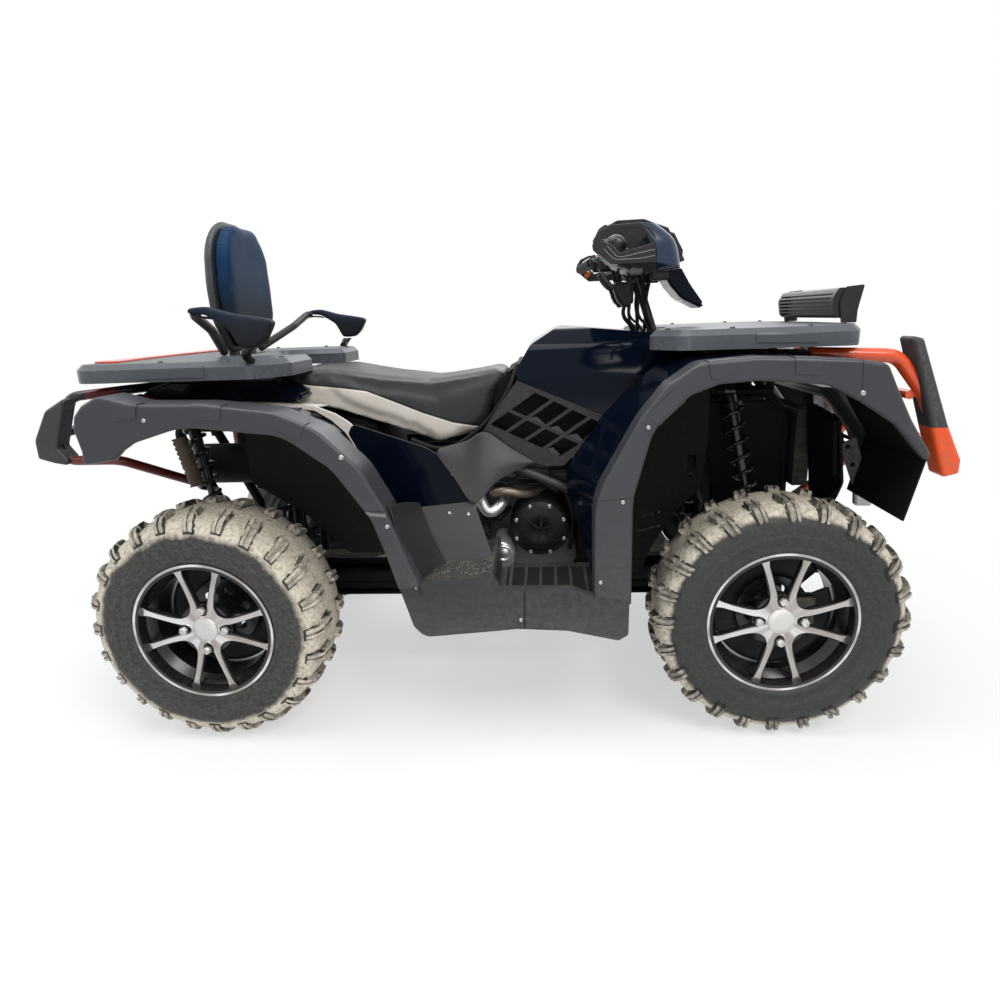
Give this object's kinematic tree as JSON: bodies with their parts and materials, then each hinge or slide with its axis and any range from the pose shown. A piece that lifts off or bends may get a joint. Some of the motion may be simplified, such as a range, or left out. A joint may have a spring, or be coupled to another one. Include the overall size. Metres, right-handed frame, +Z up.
{
  "type": "quad bike",
  "caption": "Four-wheeled off-road bike with a long seat, passenger backrest, front and rear racks, bumpers, a light bar and turning, steered wheels.",
  "frame": {"origin": "on the ground, under the middle of the overall length and width", "axes": "+X forward, +Y to the rider's left, +Z up"},
  "size_m": [2.38, 1.147, 1.359],
  "materials": {
    "tyre": "matte black rubber with dried tan mud on the tread",
    "alloy": "machined faces over gloss black",
    "steel": "satin black paint",
    "castings": "dusty bare casting",
    "engine_metal": "cast, dusty",
    "black_cover": "satin black",
    "dark_gloss": "glossy very dark blue-black",
    "dark_matte": "matte dark grey, fine grain, dusty",
    "cream": "satin cream",
    "vinyl": "black vinyl, fine grain",
    "rubber": "matte black rubber",
    "orange": "gloss orange paint",
    "dark_red": "gloss dark red paint",
    "lamp": "clear lens",
    "red_lamp": "red lens",
    "mudguard": "black liner plastic, dusty"
  },
  "bodies": {
    "vehicle": {"backrest": "vinyl", "backrest_shell": "dark_matte", "bumper_guards": "dark_matte", "cowl": "dark_gloss", "drive_line": "steel", "engine_case": "engine_metal", "engine_covers": "black_cover", "footwells": "dark_matte", "frame": "steel", "front_arms": "steel", "front_bumper": "orange", "front_fender": "dark_gloss", "front_flares": "dark_matte", "front_liners": "mudguard", "front_rack": "dark_matte", "front_shocks": "steel", "front_subframe": "steel", "grab_bars": "steel", "half_shafts": "steel", "headlights": "lamp", "hitch": "steel", "inner_guards": "mudguard", "light_bar": "black_cover", "muffler": "steel", "nose_mask": "dark_matte", "radiator": "black_cover", "rear_arms": "steel", "rear_bumper": "dark_red", "rear_bumper_ends": "dark_matte", "rear_fender": "dark_gloss", "rear_flares": "dark_matte", "rear_hub_carriers": "castings", "rear_rack": "dark_matte", "rear_shocks": "steel", "rear_side_panels": "dark_gloss", "rear_subframe": "steel", "rear_trim": "cream", "seat": "vinyl", "side_panels": "dark_matte", "skid_plate": "mudguard", "tail_lights": "red_lamp"},
    "handlebar": {"handlebar": "steel", "grips": "rubber", "handlebar_cover": "black_cover", "hand_guards": "black_cover"},
    "knuckle_right": {"knuckle_right": "castings"},
    "knuckle_left": {"knuckle_left": "castings"},
    "tie_rod_right": {"tie_rod_right": "steel"},
    "tie_rod_left": {"tie_rod_left": "steel"},
    "wheel_front_right": {"tyre_front_right": "tyre", "rim_front_right": "alloy"},
    "wheel_front_left": {"tyre_front_left": "tyre", "rim_front_left": "alloy"},
    "wheel_rear_right": {"tyre_rear_right": "tyre", "rim_rear_right": "alloy"},
    "wheel_rear_left": {"tyre_rear_left": "tyre", "rim_rear_left": "alloy"}
  },
  "joints": [
    {"name": "steering", "type": "hinge", "parent": "vehicle", "child": "handlebar", "pos_m": [0.47, 0, 1.08], "axis": [-0.3173, 0, 0.9483], "range_deg": [-36, 36]},
    {"name": "knuckle_turn_right", "type": "hinge", "parent": "vehicle", "child": "knuckle_right", "pos_m": [0.7475, -0.385, 0.317], "axis": [0, 0, 1], "range_deg": [-30, 30]},
    {"name": "rod_turn_right", "type": "hinge", "parent": "knuckle_right", "child": "tie_rod_right", "pos_m": [0.6525, -0.385, 0.35], "axis": [0, 0, 1], "range_deg": [-30, 30]},
    {"name": "wheel_spin_front_right", "type": "hinge", "parent": "knuckle_right", "child": "wheel_front_right", "pos_m": [0.7475, -0.385, 0.317], "axis": [0, 1, 0], "continuous": true},
    {"name": "knuckle_turn_left", "type": "hinge", "parent": "vehicle", "child": "knuckle_left", "pos_m": [0.7475, 0.385, 0.317], "axis": [0, 0, 1], "range_deg": [-30, 30]},
    {"name": "rod_turn_left", "type": "hinge", "parent": "knuckle_left", "child": "tie_rod_left", "pos_m": [0.6525, 0.385, 0.35], "axis": [0, 0, 1], "range_deg": [-30, 30]},
    {"name": "wheel_spin_front_left", "type": "hinge", "parent": "knuckle_left", "child": "wheel_front_left", "pos_m": [0.7475, 0.385, 0.317], "axis": [0, 1, 0], "continuous": true},
    {"name": "wheel_spin_rear_right", "type": "hinge", "parent": "vehicle", "child": "wheel_rear_right", "pos_m": [-0.7075, -0.449, 0.317], "axis": [0, 1, 0], "continuous": true},
    {"name": "wheel_spin_rear_left", "type": "hinge", "parent": "vehicle", "child": "wheel_rear_left", "pos_m": [-0.7075, 0.449, 0.317], "axis": [0, 1, 0], "continuous": true}
  ],
  "couplings": [
    {"joint": "knuckle_turn_right", "follows": "steering", "ratio": 0.83333},
    {"joint": "rod_turn_right", "follows": "steering", "ratio": -0.83333},
    {"joint": "knuckle_turn_left", "follows": "steering", "ratio": 0.83333},
    {"joint": "rod_turn_left", "follows": "steering", "ratio": -0.83333}
  ]
}
